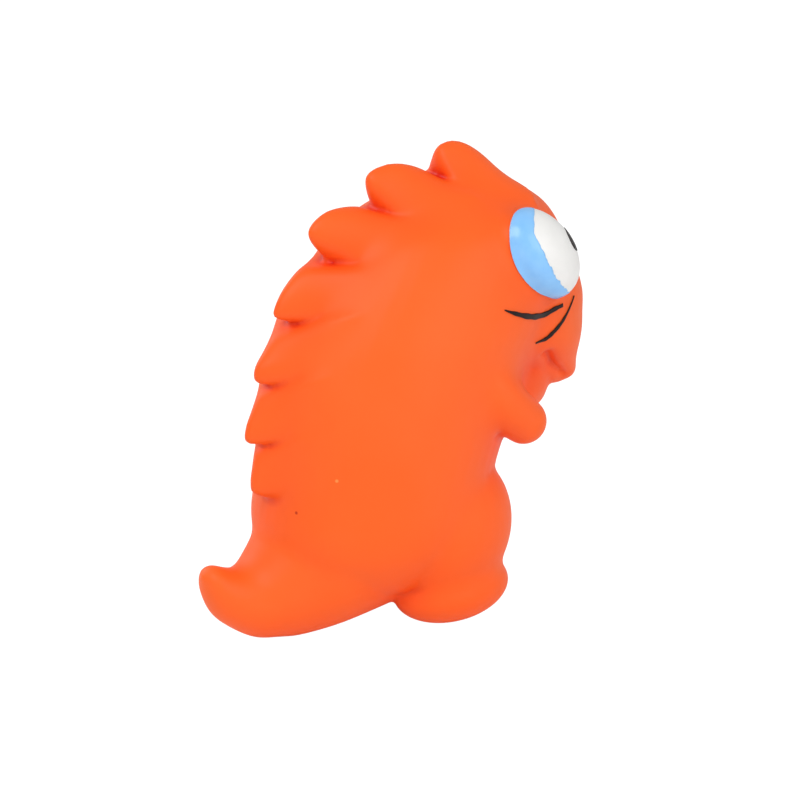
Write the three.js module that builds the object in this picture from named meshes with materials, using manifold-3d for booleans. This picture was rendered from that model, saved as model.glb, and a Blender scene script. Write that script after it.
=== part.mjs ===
// A latex dinosaur dog toy that stands on two flat feet and its tail.
// One hollow moulded skin carries the head, muzzle, eye bulges, arms, legs, tail and back spikes.
// It is stuffed with fibre, and a squeaker is plugged into a hole in its underside.
// The eyes and the lines under them are coats of enamel on the skin.
// Lengths are in millimetres. +X is the toy's left, -Y is forward, +Z is up.
import * as THREE from "three";
import { mergeVertices } from "three/addons/utils/BufferGeometryUtils.js";
import Module from "manifold-3d";

const wasm = await Module();
wasm.setup();

// Driving sizes of the moulding
const bellyLevel = 6;
const bodyHeight = 112;
const bodyDepth = 90;
const bodyWidth = 56;
const crownLevel = bellyLevel + bodyHeight;
const skinWall = 2;
const soleFlat = 0.5;
const seatGap = 0.3;
const cutOverrun = 1;
const weldReach = 1e-4;
const roundSides = 32;
const pupilSides = 20;

// How finely the outside and the hidden surfaces are divided
const outsideDetailShare = 0.8;
const insideDetailShare = 0.36;

// Materials
const latexOrange = new THREE.MeshStandardMaterial({ color: 0xfd6b2b, roughness: 0.5, metalness: 0 });
const fibreWhite = new THREE.MeshStandardMaterial({ color: 0xf2f0ea, roughness: 0.95, metalness: 0 });
const enamelWhite = new THREE.MeshStandardMaterial({ color: 0xf4f3f2, roughness: 0.3, metalness: 0 });
const enamelBlue = new THREE.MeshStandardMaterial({ color: 0x86bdf2, roughness: 0.25, metalness: 0 });
const enamelBlack = new THREE.MeshStandardMaterial({ color: 0x1c1413, roughness: 0.35, metalness: 0 });
const plasticWhite = new THREE.MeshStandardMaterial({ color: 0xeceae4, roughness: 0.4, metalness: 0 });
const reedAmber = new THREE.MeshStandardMaterial({ color: 0xd9b071, roughness: 0.3, metalness: 0 });

const X_AXIS = new THREE.Vector3(1, 0, 0);
const Z_AXIS = new THREE.Vector3(0, 0, 1);
const bothSides = [-1, 1];

// A point given by its distance to the toy's left, forward and up.
function place(left, forward, up) {
  return new THREE.Vector3(left, -forward, up);
}

// A closed three.js geometry as a solid that can be joined and cut.
function solid(geometry) {
  const bare = geometry.clone();
  bare.deleteAttribute("normal");
  bare.deleteAttribute("uv");
  const merged = mergeVertices(bare, weldReach);
  return new wasm.Manifold(
    new wasm.Mesh({
      numProp: 3,
      vertProperties: new Float32Array(merged.attributes.position.array),
      triVerts: new Uint32Array(merged.index.array),
    }),
  );
}

function geometryOf(body) {
  const mesh = body.getMesh();
  const positions = new Float32Array(mesh.numVert * 3);
  for (let i = 0; i < mesh.numVert; i++) {
    positions.set(mesh.vertProperties.subarray(i * mesh.numProp, i * mesh.numProp + 3), i * 3);
  }
  const geometry = new THREE.BufferGeometry();
  geometry.setAttribute("position", new THREE.BufferAttribute(positions, 3));
  geometry.setIndex(new THREE.BufferAttribute(new Uint32Array(mesh.triVerts), 1));
  geometry.computeVertexNormals();
  return geometry;
}

function joined(bodies) {
  return bodies.reduce((whole, body) => whole.add(body));
}

// Counts at a level of detail. Counts round a form are even, so that both its sides match.
function counted(count, detail) {
  return Math.max(3, Math.round(count * detail));
}

function countedEvenly(count, detail) {
  return 2 * Math.max(2, Math.round((count * detail) / 2));
}

// A closed skin over rings of equal point counts, drawn in to one point at each end.
function skinOverRings(startPole, rings, endPole) {
  const sides = rings[0].length;
  const points = [startPole, ...rings.flat(), endPole];
  const last = points.length - 1;
  const faces = [];
  for (let k = 0; k < sides; k++) {
    const next = (k + 1) % sides;
    faces.push([0, 1 + next, 1 + k]);
    for (let ring = 0; ring < rings.length - 1; ring++) {
      const low = 1 + ring * sides;
      const high = low + sides;
      faces.push([low + k, low + next, high + next], [low + k, high + next, high + k]);
    }
    const top = 1 + (rings.length - 1) * sides;
    faces.push([last, top + k, top + next]);
  }
  return solidOverFaces(points, faces);
}

// A closed solid over triangles that all face the same way, in or out.
function solidOverFaces(points, faces) {
  const geometry = new THREE.BufferGeometry().setFromPoints(points);
  geometry.setIndex(faces.flat());
  const body = solid(geometry);
  if (body.volume() > 0) {
    return body;
  }
  geometry.setIndex(faces.map(([a, b, c]) => [a, c, b]).flat());
  return solid(geometry);
}

// One ring of a form: an ellipse across the path, with its first axis kept level.
function ringAt(centre, tangent, halfWide, halfDeep, sides) {
  const wideAxis = X_AXIS.clone().addScaledVector(tangent, -tangent.dot(X_AXIS)).normalize();
  const deepAxis = tangent.clone().cross(wideAxis);
  const ring = [];
  for (let k = 0; k < sides; k++) {
    const angle = (2 * Math.PI * k) / sides;
    ring.push(
      centre.clone()
        .addScaledVector(wideAxis, halfWide * Math.cos(angle))
        .addScaledVector(deepAxis, halfDeep * Math.sin(angle)),
    );
  }
  return ring;
}

const limbCapSteps = 3;

// A form that swells and tapers along a smooth path through its stations, with round ends.
// A station holds its point and its half sizes across the path.
function limb(stations, sides, steps, grow) {
  const path = new THREE.CatmullRomCurve3(stations.map((station) => station.at), false, "catmullrom");
  const sizes = new THREE.SplineCurve(
    stations.map((station) => new THREE.Vector2(station.halfWide, station.halfDeep)),
  );
  const rings = [];
  const cap = (t, sign) => {
    const centre = path.getPoint(t);
    const tangent = path.getTangent(t);
    const size = sizes.getPoint(t);
    const length = Math.min(size.x, size.y) + grow;
    for (let k = 1; k < limbCapSteps; k++) {
      const turned = sign < 0 ? 1 - k / limbCapSteps : k / limbCapSteps;
      const angle = (Math.PI / 2) * turned;
      const point = centre.clone().addScaledVector(tangent, sign * length * Math.sin(angle));
      const narrowed = Math.cos(angle);
      rings.push(
        ringAt(point, tangent, (size.x + grow) * narrowed, (size.y + grow) * narrowed, sides),
      );
    }
    return centre.addScaledVector(tangent, sign * length);
  };
  const startPole = cap(0, -1);
  for (let k = 0; k <= steps; k++) {
    const t = k / steps;
    const size = sizes.getPoint(t);
    rings.push(ringAt(path.getPoint(t), path.getTangent(t), size.x + grow, size.y + grow, sides));
  }
  const endPole = cap(1, 1);
  return skinOverRings(startPole, rings, endPole);
}

// A form stacked of level rings. Each row of its shares holds the height, the front, the back
// and the half width, as shares of the form's height, depth, depth and width.
function stack(form, grow, detail) {
  const { base, height, depth, width, rowShares, startShare, endShare } = form;
  const curveOf = (column, size) => new THREE.SplineCurve(
    rowShares.map((row) => new THREE.Vector2(row[column] * size, row[0] * height)),
  );
  const fronts = curveOf(1, depth);
  const backs = curveOf(2, depth);
  const halves = curveOf(3, width);
  const sides = countedEvenly(form.sides, detail);
  const steps = counted(form.steps, detail);
  const rings = [];
  for (let k = 0; k <= steps; k++) {
    const front = fronts.getPoint(k / steps);
    const back = backs.getPoint(k / steps);
    const half = halves.getPoint(k / steps).x;
    const spread = (2 * front.y) / height - 1;
    const centre = place(0, (front.x + back.x) / 2, base + front.y + spread * grow);
    rings.push(ringAt(centre, Z_AXIS, half + grow, (front.x - back.x) / 2 + grow, sides));
  }
  return skinOverRings(
    place(0, startShare * depth, base - grow),
    rings,
    place(0, endShare * depth, base + height + grow),
  );
}

const slimmestRing = 0.3;

// A form with a drawn side view. Each ring is an ellipse between a point of the upper edge and
// a point of the lower edge, as wide as its station says, and the last rings close on the tip.
// Rings that shrink away to nothing are left out.
function lobe(stations, tip, sides, grow) {
  const rings = stations
    .map(({ top, bottom, halfWide }) => ({
      centre: top.clone().lerp(bottom, 0.5),
      ahead: top.clone().sub(bottom).cross(X_AXIS).normalize(),
      halfWide: halfWide + grow,
      halfDeep: top.distanceTo(bottom) / 2 + grow,
    }))
    .filter(({ halfWide, halfDeep }) => Math.min(halfWide, halfDeep) > slimmestRing);
  const start = rings[0].centre.clone();
  const inward = start.clone().sub(rings[1].centre).normalize();
  const end = rings[rings.length - 1].centre.clone();
  const outward = tip.clone().sub(end);
  const reach = Math.max(outward.length() + grow, slimmestRing);
  return skinOverRings(
    start.addScaledVector(inward, Math.max(grow, 0)),
    rings.map((ring) => ringAt(ring.centre, ring.ahead, ring.halfWide, ring.halfDeep, sides)),
    end.addScaledVector(outward.normalize(), reach),
  );
}

// An ellipsoid with its three half sizes along three square axes.
function ellipsoid(centre, axes, halfSizes, columns, rows, grow) {
  const grown = halfSizes.map((size) => size + grow);
  const turn = new THREE.Matrix4().makeBasis(...axes);
  const stretch = new THREE.Matrix4().makeScale(...grown);
  const geometry = new THREE.SphereGeometry(1, columns, rows);
  geometry.applyMatrix4(turn.multiply(stretch).setPosition(centre));
  return solid(geometry);
}

const levelAxes = [X_AXIS, new THREE.Vector3(0, 1, 0), Z_AXIS];

// Body and head: one form from the underside to the crown
const body = {
  base: bellyLevel,
  height: bodyHeight,
  depth: bodyDepth,
  width: bodyWidth,
  rowShares: [
    [0.018, 0.045, -0.222, 0.2],
    [0.0625, 0.156, -0.36, 0.36],
    [0.143, 0.25, -0.445, 0.465],
    [0.214, 0.283, -0.468, 0.5],
    [0.304, 0.295, -0.47, 0.5],
    [0.393, 0.33, -0.468, 0.5],
    [0.482, 0.372, -0.462, 0.5],
    [0.571, 0.42, -0.447, 0.5],
    [0.66, 0.489, -0.412, 0.5],
    [0.75, 0.525, -0.348, 0.48],
    [0.82, 0.536, -0.285, 0.446],
    [0.884, 0.5, -0.215, 0.396],
    [0.936, 0.43, -0.135, 0.316],
    [0.97, 0.352, -0.067, 0.22],
    [0.99, 0.266, 0, 0.125],
  ],
  startShare: -0.08,
  endShare: 0.14,
  sides: 28,
  steps: 22,
};

// Muzzle: a blunt, drooping snout whose lower edge climbs back to the corners of the mouth. It
// reaches ahead of the body's front and is narrower than the body.
const muzzleDrop = 64;
const muzzleReach = 11;
const muzzleNarrowing = 14;
const muzzle = {
  base: crownLevel - muzzleDrop,
  height: 46,
  depth: bodyDepth / 2 + muzzleReach,
  width: bodyWidth - muzzleNarrowing,
  rowShares: [
    [0.033, 0.92, 0.714, 0.214],
    [0.087, 0.95, 0.66, 0.29],
    [0.19, 0.965, 0.536, 0.357],
    [0.348, 0.985, 0.321, 0.452],
    [0.478, 0.99, 0.179, 0.488],
    [0.609, 0.988, 0.089, 0.5],
    [0.783, 0.93, 0.089, 0.476],
    [0.913, 0.82, 0.143, 0.38],
  ],
  startShare: 0.8,
  endShare: 0.5,
  sides: 20,
  steps: 9,
};

// Lower jaw, hung under the muzzle, set back from its front and narrower again
const jawHang = 7.5;
const jawNarrowing = 11;
const jaw = {
  base: muzzle.base - jawHang,
  height: 19.5,
  depth: bodyDepth / 2,
  width: muzzle.width - jawNarrowing,
  rowShares: [
    [0.077, 0.86, 0.333, 0.29],
    [0.256, 0.96, 0.178, 0.435],
    [0.385, 1, 0.111, 0.484],
    [0.538, 1.03, 0.111, 0.5],
    [0.795, 1, 0.111, 0.484],
  ],
  startShare: 0.667,
  endShare: 0.5,
  sides: 18,
  steps: 6,
};

// A place on the body, measured in from its side, back from its front and down from its crown.
// The side is a share of the body's width, because the head is narrower than the belly.
function onBody({ sideShare, inset, setBack, drop }) {
  return {
    apart: sideShare * bodyWidth - inset,
    forward: bodyDepth / 2 - setBack,
    level: crownLevel - drop,
  };
}

// Eye bulges: domes on the sides of the head, leaning back and turned partly forward
const eyeHalfTall = 14.5;
const eyeHalfWide = 10;
const eyeHalfProud = 8;
const eyeSeat = { sideShare: 0.446, inset: 4.176, setBack: 15.8, drop: 20.1 };
const eye = onBody(eyeSeat);
const eyeLean = THREE.MathUtils.degToRad(45);
const eyeTurn = THREE.MathUtils.degToRad(61.5);
const eyeColumns = 18;
const eyeRows = 12;

function eyeCentre(side) {
  return place(side * eye.apart, eye.forward, eye.level);
}

// The eye's axes: across its narrow side, up its long side and straight out of its dome.
// The first points forward on the toy's right side and back on its left side.
function eyeAxes(side) {
  const up = new THREE.Vector3(0, Math.sin(eyeLean), Math.cos(eyeLean));
  const ahead = new THREE.Vector3(0, -Math.cos(eyeLean), Math.sin(eyeLean));
  const out = ahead.multiplyScalar(Math.cos(eyeTurn)).addScaledVector(X_AXIS, side * Math.sin(eyeTurn));
  const across = up.clone().cross(out);
  return [across, up, out];
}

function eyeBulge(side, grow, detail) {
  return ellipsoid(
    eyeCentre(side), eyeAxes(side), [eyeHalfWide, eyeHalfTall, eyeHalfProud],
    countedEvenly(eyeColumns, detail), counted(eyeRows, detail), grow,
  );
}

// Arms: short and thick, hanging forward of the shoulders
const armRadius = 7;
const handRadius = 6;
const shoulderSeat = { sideShare: 0.5, inset: 8, setBack: 35, drop: 48 };
const handSeat = { sideShare: 0.5, inset: 5.5, setBack: 21, drop: 64.5 };
const shoulder = onBody(shoulderSeat);
const hand = onBody(handSeat);
const armBowShare = 0.14;
const armSides = 14;
const armSteps = 4;

function arm(side, grow, detail) {
  const from = place(side * shoulder.apart, shoulder.forward, shoulder.level);
  const to = place(side * hand.apart, hand.forward, hand.level);
  const bow = place(side, -1, -1).multiplyScalar(armBowShare * armRadius);
  const elbow = from.clone().lerp(to, 0.5).add(bow);
  return limb(
    [
      { at: from, halfWide: armRadius, halfDeep: armRadius },
      { at: elbow, halfWide: armRadius, halfDeep: armRadius },
      { at: to, halfWide: handRadius, halfDeep: handRadius },
    ],
    countedEvenly(armSides, detail), counted(armSteps, detail), grow,
  );
}

// Legs: a round thigh over a long foot with a flat sole
const thighHalf = { wide: 13.5, long: 20, tall: 21 };
const thighSetBack = 41;
const thighLift = 4.5;
const thighCentre = {
  apart: bodyWidth / 2 - thighHalf.wide,
  forward: bodyDepth / 2 - thighSetBack,
  level: thighHalf.tall + thighLift,
};
const footHalf = { wide: 11, long: 17, tall: 9 };
const footInset = 1;
const footAhead = 0.5;
const footCentre = {
  apart: bodyWidth / 2 - footInset - footHalf.wide,
  forward: thighCentre.forward + footAhead,
};
const legColumns = 18;
const legRows = 10;

function thigh(side, grow, detail) {
  return ellipsoid(
    place(side * thighCentre.apart, thighCentre.forward, thighCentre.level),
    levelAxes, [thighHalf.wide, thighHalf.long, thighHalf.tall],
    countedEvenly(legColumns, detail), counted(legRows, detail), grow,
  );
}

function foot(side, grow, detail) {
  return ellipsoid(
    place(side * footCentre.apart, footCentre.forward, footHalf.tall - soleFlat),
    levelAxes, [footHalf.wide, footHalf.long, footHalf.tall],
    countedEvenly(legColumns, detail), counted(legRows, detail), grow,
  );
}

// Tail: stout, resting on the floor, with its tip curled up. It goes out behind the body's back.
const tailOut = 17.5;
const tailReach = bodyDepth / 2 + tailOut;
const tailHeight = 42;
const tailHalfWide = 22;
const tailSides = 20;
// Each row holds the reach behind and the height of the upper edge, then of the lower edge,
// and the half width, as shares of the tail's reach, height, reach, height and half width.
const tailShares = [
  [0.24, 1, 0.19, 0.09, 1],
  [0.47, 0.93, 0.4, 0.02, 0.86],
  [0.635, 0.8, 0.56, -0.012, 0.69],
  [0.7, 0.68, 0.66, -0.012, 0.6],
  [0.755, 0.575, 0.76, 0.02, 0.49],
  [0.81, 0.525, 0.86, 0.12, 0.4],
  [0.87, 0.54, 0.94, 0.24, 0.31],
  [0.925, 0.575, 0.98, 0.38, 0.23],
  [0.96, 0.575, 0.99, 0.47, 0.14],
];
const tailTipShares = { behind: 0.995, up: 0.53 };

function tail(grow, detail) {
  const tailPoint = (behindShare, upShare) => place(0, -behindShare * tailReach, upShare * tailHeight);
  return lobe(
    tailShares.map(([topBehind, topUp, bottomBehind, bottomUp, half]) => ({
      top: tailPoint(topBehind, topUp),
      bottom: tailPoint(bottomBehind, bottomUp),
      halfWide: half * tailHalfWide,
    })),
    tailPoint(tailTipShares.behind, tailTipShares.up), countedEvenly(tailSides, detail), grow,
  );
}

// Back spikes, from the crown down. Each is a broad lobe whose top flows out of the root
// above it, and whose underside is undercut to its own root.
// Each row holds the reach behind and the height of four points, then the half width, as
// shares of the body's depth, height and width. The points are the bulge on top, the
// shoulder before the tip, the tip and the root.
const spikeShares = [
  [-0.267, 1.036, -0.185, 1.065, -0.145, 1.031, -0.115, 0.985, 0.2],
  [-0.037, 1.027, 0.068, 1.034, 0.108, 1.009, 0.1, 0.942, 0.23],
  [0.172, 0.957, 0.262, 0.945, 0.298, 0.915, 0.255, 0.838, 0.25],
  [0.32, 0.822, 0.39, 0.782, 0.415, 0.746, 0.375, 0.71, 0.24],
  [0.412, 0.675, 0.462, 0.64, 0.48, 0.607, 0.445, 0.573, 0.23],
  [0.47, 0.534, 0.51, 0.496, 0.518, 0.464, 0.46, 0.43, 0.21],
  [0.482, 0.405, 0.5, 0.362, 0.5, 0.33, 0.46, 0.299, 0.18],
];
const crestStartShares = { behind: -0.369, up: 0.956 };
const spikeTopBed = 2;
const spikeRootBed = 5;
// Each row holds how far along the spike the ring stands, and its share of the half width.
const spikeRingShares = [
  [0, 1],
  [0.3, 0.82],
  [0.55, 0.6],
  [0.75, 0.42],
  [0.9, 0.25],
];
const spikeSides = 14;

function backPoint(behindShare, upShare) {
  return place(0, -behindShare * bodyDepth, bellyLevel + upShare * bodyHeight);
}

function spike(index, grow, detail) {
  const [bulgeBehind, bulgeUp, shoulderBehind, shoulderUp, tipBehind, tipUp, rootBehind, rootUp] =
    spikeShares[index];
  const halfShare = spikeShares[index][8];
  const above = index > 0
    ? backPoint(spikeShares[index - 1][6], spikeShares[index - 1][7])
    : backPoint(crestStartShares.behind, crestStartShares.up);
  const root = backPoint(rootBehind, rootUp);
  const tip = backPoint(tipBehind, tipUp);
  const inward = root.clone().sub(above).normalize().cross(X_AXIS);
  const rootward = root.clone().sub(tip).normalize();
  const upper = new THREE.CatmullRomCurve3([
    above.clone().addScaledVector(inward, spikeTopBed),
    backPoint(bulgeBehind, bulgeUp),
    backPoint(shoulderBehind, shoulderUp),
    tip,
  ]);
  const lower = new THREE.LineCurve3(root.clone().addScaledVector(rootward, spikeRootBed), tip);
  return lobe(
    spikeRingShares.map(([along, wide]) => ({
      top: upper.getPoint(along),
      bottom: lower.getPoint(along),
      halfWide: wide * halfShare * bodyWidth,
    })),
    tip, countedEvenly(spikeSides, detail), grow,
  );
}

// All the forms of the moulding, grown or shrunk by one distance.
function headForms(grow, detail) {
  return [stack(body, grow, detail), stack(muzzle, grow, detail), stack(jaw, grow, detail)];
}

function allForms(grow, detail) {
  return [
    ...headForms(grow, detail),
    tail(grow, detail),
    ...bothSides.flatMap((side) => [
      eyeBulge(side, grow, detail),
      arm(side, grow, detail),
      thigh(side, grow, detail),
      foot(side, grow, detail),
    ]),
    ...spikeShares.map((row, index) => spike(index, grow, detail)),
  ];
}

// A straight-sided block about a centre, turned to three square axes.
function block(centre, axes, sizes) {
  const geometry = new THREE.BoxGeometry(...sizes);
  const turn = new THREE.Matrix4().makeBasis(...axes);
  geometry.applyMatrix4(turn.setPosition(centre));
  return solid(geometry);
}

// A round body about an upright axis, from a profile of radii and heights that closes on itself.
// Faces that shrink to a line on the axis are left out.
function turned(profile, axisForward) {
  const points = profile.map(([radius, height]) => new THREE.Vector2(radius, height));
  const lathe = new THREE.LatheGeometry([...points, points[0]], roundSides);
  lathe.rotateX(Math.PI / 2);
  lathe.translate(0, -axisForward, 0);
  lathe.deleteAttribute("normal");
  lathe.deleteAttribute("uv");
  const welded = mergeVertices(lathe, weldReach);
  const faces = [];
  for (let i = 0; i < welded.index.count; i += 3) {
    const face = [0, 1, 2].map((corner) => welded.index.getX(i + corner));
    if (new Set(face).size === face.length) {
      faces.push(face);
    }
  }
  const corners = [];
  for (let i = 0; i < welded.attributes.position.count; i++) {
    corners.push(new THREE.Vector3().fromBufferAttribute(welded.attributes.position, i));
  }
  return solidOverFaces(corners, faces);
}

// Squeaker: a plug with a flange below the skin and a barb above it, and a cup that holds
// a reed on its seat under a cap. The flange lies in a recess in the toy's underside.
const squeakerFromBack = 29;
const squeakerForward = squeakerFromBack - bodyDepth / 2;
const seatRise = 0.5;
const seatLevel = bellyLevel + seatRise;
const flangeRadius = 9;
const flangeThick = 1.5;
const recessRoom = 1;
const neckRadius = 6.5;
const barbRadius = 8.3;
const barbTall = 2.8;
const cupRadius = 6.5;
const cupWall = 1.4;
const cupTall = 6.5;
const airHoleRadius = 2;
const squeakerRoom = 1;
const recessRadius = flangeRadius + recessRoom;
const collarRadius = recessRadius + skinWall;
const flangeTop = seatLevel - seatGap;
const flangeBottom = flangeTop - flangeThick;
const seatTop = seatLevel + skinWall;
const barbBottom = seatTop + seatGap;
const barbTop = barbBottom + barbTall;
const cupTop = barbTop + cupTall;
const boreRadius = cupRadius - cupWall;
const boreBottom = seatLevel;

const squeakerHousing = turned([
  [airHoleRadius, flangeBottom],
  [flangeRadius, flangeBottom],
  [flangeRadius, flangeTop],
  [neckRadius, flangeTop],
  [neckRadius, barbBottom],
  [barbRadius, barbBottom],
  [cupRadius, barbTop],
  [cupRadius, cupTop],
  [boreRadius, cupTop],
  [boreRadius, boreBottom],
  [airHoleRadius, boreBottom],
], squeakerForward);

// Reed and its seat: air comes up the slot and sets the free end of the reed buzzing. A clamp
// bridges the reed's root, and the reed bends at the clamp's front edge.
const reedSeatTall = 4;
const slot = { wide: 1.6, long: 4.6 };
const reed = { wide: 2.6, long: 6, thick: 0.25 };
const reedRoot = 0.8;
const clampTall = 1.6;
const clampCheek = 1;
const reedSeatBottom = boreBottom + seatGap;
const reedSeatTop = reedSeatBottom + reedSeatTall;
const reedBottom = reedSeatTop + seatGap;
const reedTop = reedBottom + reed.thick;

// The clamp's edge lies ahead of the reed's root, and its far corners clear the bore.
const clampHalfWide = reed.wide / 2 + seatGap + clampCheek;
const clampEdgeBehind = reed.long / 2 - reedRoot;
const clampEndBehind = Math.sqrt((boreRadius - seatGap) ** 2 - clampHalfWide ** 2);
const clampLong = clampEndBehind - clampEdgeBehind;

const reedSeat = turned([
  [0, reedSeatBottom],
  [boreRadius - seatGap, reedSeatBottom],
  [boreRadius - seatGap, reedSeatTop],
  [0, reedSeatTop],
], squeakerForward).subtract(
  block(
    place(0, squeakerForward + reedRoot, (reedSeatBottom + reedSeatTop) / 2),
    levelAxes, [slot.wide, slot.long, reedSeatTall + 2 * cutOverrun],
  ),
);

const reedTongue = block(
  place(0, squeakerForward, (reedBottom + reedTop) / 2),
  levelAxes, [reed.wide, reed.long, reed.thick],
);

const clampTop = reedTop + seatGap + clampTall;
const clampCentreForward = squeakerForward - clampEdgeBehind - clampLong / 2;
const reedClamp = block(
  place(0, clampCentreForward, (reedBottom + clampTop) / 2),
  levelAxes, [2 * clampHalfWide, clampLong, clampTop - reedBottom],
).subtract(
  block(
    place(0, clampCentreForward, (reedBottom + reedTop) / 2),
    levelAxes, [reed.wide + 2 * seatGap, clampLong + 2 * cutOverrun, reed.thick + 2 * seatGap],
  ),
);

// Cap: closes the cup, with a spigot in its bore and a hole for the air
const capThick = 1.2;
const capSpigot = 2;
const capHoleRadius = 1.2;
const capBottom = cupTop + seatGap;
const capTop = capBottom + capThick;
const squeakerCap = turned([
  [capHoleRadius, capBottom - capSpigot],
  [boreRadius - seatGap, capBottom - capSpigot],
  [boreRadius - seatGap, capBottom],
  [cupRadius, capBottom],
  [cupRadius, capTop],
  [capHoleRadius, capTop],
], squeakerForward);

// A plain upright cylinder about the squeaker's axis, for cuts and joins.
function squeakerCylinder(radius, bottom, top) {
  return turned([[0, bottom], [radius, bottom], [radius, top], [0, top]], squeakerForward);
}

// Latex skin: hollow, flat under the soles and the tail, with a collar that seats the squeaker
const deepest = 2 * bellyLevel;
const floorCut = block(
  place(0, 0, -deepest / 2), levelAxes, [2 * bodyDepth, 2 * bodyDepth, deepest],
);
const hollow = joined(allForms(-skinWall, insideDetailShare))
  .add(squeakerCylinder(barbRadius + squeakerRoom, 0, cupTop))
  .subtract(squeakerCylinder(collarRadius + skinWall, -bellyLevel, seatTop));
const latexSkin = joined(allForms(0, outsideDetailShare))
  .add(squeakerCylinder(collarRadius, flangeTop, seatTop + skinWall))
  .subtract(floorCut)
  .subtract(squeakerCylinder(recessRadius, -bellyLevel, seatLevel))
  .subtract(hollow)
  .subtract(squeakerCylinder(neckRadius + seatGap, 0, cupTop));

// Fibre filling: fills the hollow, all but the squeaker's room
const filling = joined(allForms(-skinWall - seatGap, insideDetailShare))
  .subtract(squeakerCylinder(collarRadius + skinWall + seatGap, -bellyLevel, seatTop + seatGap))
  .subtract(squeakerCylinder(barbRadius + squeakerRoom, 0, capTop + squeakerRoom));

// Enamel on the eyes: a blue lid behind a slanting edge, white in front of it, and a black
// pupil near the front of the dome
const enamelThick = 0.3;
const lidEdgeTurn = THREE.MathUtils.degToRad(28);
const lidEdgeLean = THREE.MathUtils.degToRad(18);
const pupilRadius = 3.5;
const pupilRim = 0.5;
const pupilForward = eyeHalfWide - pupilRim - pupilRadius;
const pupilDown = 3.5;
const lidEdgeRoom = 0.4;
const lidEdgeForward = pupilForward - pupilRadius + lidEdgeRoom;

const enamelOuter = seatGap + enamelThick;
const headUnderEnamel = joined(headForms(seatGap, outsideDetailShare));

function eyeShell(side) {
  return eyeBulge(side, enamelOuter, outsideDetailShare)
    .subtract(eyeBulge(side, seatGap, outsideDetailShare))
    .subtract(headUnderEnamel);
}

// The space in front of the lid's edge, moved forward by a distance, as a large block.
function aheadOfLid(side, moved) {
  const ahead = new THREE.Vector3(0, -Math.cos(lidEdgeLean), Math.sin(lidEdgeLean));
  ahead.multiplyScalar(Math.cos(lidEdgeTurn)).addScaledVector(X_AXIS, side * Math.sin(lidEdgeTurn));
  const across = Z_AXIS.clone().cross(ahead).normalize();
  const size = 2 * bodyWidth;
  const centre = eyeCentre(side).addScaledVector(ahead, lidEdgeForward + moved + size / 2);
  return block(centre, [across, ahead.clone().cross(across), ahead], [size, size, size]);
}

function pupilPrism(side, grow) {
  const [across, up, out] = eyeAxes(side);
  const geometry = new THREE.CylinderGeometry(
    pupilRadius + grow, pupilRadius + grow, eyeHalfProud * 2, pupilSides,
  );
  const centre = eyeCentre(side)
    .addScaledVector(across, -side * pupilForward)
    .addScaledVector(up, -pupilDown)
    .addScaledVector(out, eyeHalfProud);
  geometry.applyMatrix4(new THREE.Matrix4().makeBasis(up, out, across).setPosition(centre));
  return solid(geometry);
}

const eyeCoats = bothSides.map((side) => {
  const shell = eyeShell(side);
  return {
    white: shell.intersect(aheadOfLid(side, seatGap / 2)).subtract(pupilPrism(side, seatGap)),
    blue: shell.subtract(aheadOfLid(side, -seatGap / 2)),
    pupil: shell.intersect(pupilPrism(side, 0)),
  };
});

// Black lines painted on each cheek. Each row holds a point's reach ahead of the eye's centre
// and its height over it, then the line's half thickness, as shares of the eye's half height.
const cheekLineShares = {
  upper: [
    [-1.05, -0.77, 0.014],
    [-0.53, -0.99, 0.036],
    [-0.18, -1.1, 0.05],
    [0.2, -1.17, 0.04],
    [0.64, -1.11, 0.018],
  ],
  lower: [
    [0.11, -1.71, 0.018],
    [0.48, -1.54, 0.04],
    [0.75, -1.28, 0.03],
    [1.05, -1.06, 0.014],
  ],
};
const cheekLineSteps = 8;

// A tapered line as an outline ahead and up, drawn out from cheek to cheek.
function cheekLinePrism(rows) {
  const middle = new THREE.SplineCurve(
    rows.map(([ahead, over]) => new THREE.Vector2(
      eye.forward + ahead * eyeHalfTall, eye.level + over * eyeHalfTall,
    )),
  );
  const halves = new THREE.SplineCurve(
    rows.map(([, , half], index) => new THREE.Vector2(index, half * eyeHalfTall)),
  );
  const above = [];
  const below = [];
  for (let k = 0; k <= cheekLineSteps; k++) {
    const t = k / cheekLineSteps;
    const point = middle.getPoint(t);
    const along = middle.getTangent(t);
    const across = new THREE.Vector2(-along.y, along.x).multiplyScalar(halves.getPoint(t).y);
    above.push(point.clone().add(across));
    below.unshift(point.clone().sub(across));
  }
  const geometry = new THREE.ExtrudeGeometry(
    new THREE.Shape([...above, ...below]), { depth: 2 * bodyWidth, bevelEnabled: false },
  );
  const forward = new THREE.Vector3(0, -1, 0);
  const towardRight = X_AXIS.clone().negate();
  const turn = new THREE.Matrix4().makeBasis(forward, Z_AXIS, towardRight);
  geometry.applyMatrix4(turn.setPosition(place(bodyWidth, 0, 0)));
  return solid(geometry);
}

const headShell = joined(headForms(enamelOuter, outsideDetailShare)).subtract(headUnderEnamel);

function cheekLine(rows, side) {
  const halfSpace = block(
    place(side * bodyHeight, 0, bellyLevel), levelAxes,
    [2 * bodyHeight, 4 * bodyHeight, 4 * bodyHeight],
  );
  return cheekLinePrism(rows)
    .intersect(headShell)
    .intersect(halfSpace)
    .subtract(eyeBulge(side, enamelOuter + seatGap, outsideDetailShare));
}

const toy = new THREE.Group();
function add(name, shape, material) {
  const mesh = new THREE.Mesh(geometryOf(shape), material);
  mesh.name = name;
  toy.add(mesh);
}

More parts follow.
